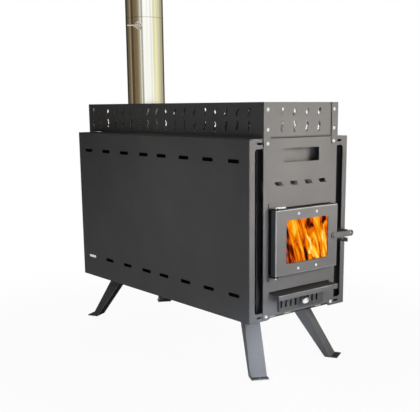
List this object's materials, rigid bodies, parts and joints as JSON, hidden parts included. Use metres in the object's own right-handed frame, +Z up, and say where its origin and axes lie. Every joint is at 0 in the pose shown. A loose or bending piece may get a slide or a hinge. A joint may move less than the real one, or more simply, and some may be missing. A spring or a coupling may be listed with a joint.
{
  "type": "sauna stove",
  "caption": "Wood-burning sauna stove: long slotted sheet-steel casing on splayed legs, glazed fire door, ash drawer, open stone basket on top and a damped flue pipe.",
  "frame": {"origin": "on the floor, midway between the four foot holes", "axes": "+Z up, -Y towards the fire door, +X to the right of someone facing the door"},
  "size_m": [0.346, 0.8795, 1.062],
  "materials": {
    "heat_paint": "matt graphite heat-proof paint on folded sheet steel",
    "bright_steel": "bright zinc-plated screws, knob and hinge pin",
    "stainless_flue": "polished stainless steel tube, slightly heat-tinted",
    "damper_steel": "dull steel rod and wire",
    "firebox_steel": "sooted steel plate",
    "front_wall_steel": "steel plate, stove paint outside and soot inside",
    "black_steel": "hot-rolled steel sheet with black mill scale",
    "grate_iron": "rough cast iron",
    "fire_glass": "clear heat-proof glass",
    "seal_fibre": "woven glass-fibre seal",
    "nameplate_metal": "plain bare metal, no lettering"
  },
  "bodies": {
    "stove": {"left_casing": "heat_paint", "right_casing": "heat_paint", "nameplate": "nameplate_metal", "front_screen": "heat_paint", "rear_screen": "heat_paint", "bottom_shield": "black_steel", "firebox_shell": "firebox_steel", "firebox_front_wall": "front_wall_steel", "firebox_rear_wall": "firebox_steel", "firebox_top_plate": "firebox_steel", "hearth_plate": "firebox_steel", "grate": "grate_iron", "baffle_plate": "firebox_steel", "baffle_rests": "firebox_steel", "door_collar": "firebox_steel", "ash_hood": "heat_paint", "hinge_lugs": "heat_paint", "hinge_pin": "bright_steel", "latch_keeper": "heat_paint", "basket_front_end": "heat_paint", "basket_rear_end": "heat_paint", "basket_left_side": "heat_paint", "basket_right_side": "heat_paint", "panel_screws": "bright_steel", "panel_nuts": "bright_steel", "leg_front_left": "heat_paint", "leg_front_right": "heat_paint", "leg_rear_left": "heat_paint", "leg_rear_right": "heat_paint", "leg_studs": "bright_steel", "leg_nuts": "bright_steel", "flue_collar": "heat_paint", "flue_pipe_lower": "stainless_flue", "flue_pipe_upper": "stainless_flue"},
    "door": {"door_panel": "heat_paint", "door_glass": "fire_glass", "glass_tape": "seal_fibre", "door_liner": "heat_paint", "door_gasket": "seal_fibre", "glass_screws": "bright_steel", "glass_nuts": "bright_steel", "latch_bolt": "heat_paint", "latch_nut": "bright_steel"},
    "latch": {"latch_lever": "heat_paint"},
    "drawer": {"ash_drawer": "heat_paint", "drawer_front": "heat_paint", "drawer_knob": "bright_steel", "knob_screw": "bright_steel"},
    "damper": {"damper_spindle": "damper_steel", "damper_blade": "damper_steel", "damper_screws": "bright_steel", "damper_handle": "damper_steel"}
  },
  "joints": [
    {"name": "door_hinge", "type": "hinge", "parent": "stove", "child": "door", "pos_m": [-0.106, -0.4286, 0.3445], "axis": [0, 0, -1], "range_deg": [0, 130]},
    {"name": "latch_pivot", "type": "hinge", "parent": "door", "child": "latch", "pos_m": [0.0948, -0.4354, 0.3445], "axis": [0, 1, 0], "range_deg": [0, 9]},
    {"name": "drawer_slide", "type": "slide", "parent": "stove", "child": "drawer", "axis": [0, -1, 0], "range_m": [0, 0.27]},
    {"name": "damper_turn", "type": "hinge", "parent": "stove", "child": "damper", "pos_m": [0, 0.276, 0.916], "axis": [0.766, 0.6428, 0], "range_deg": [0, 90]}
  ]
}
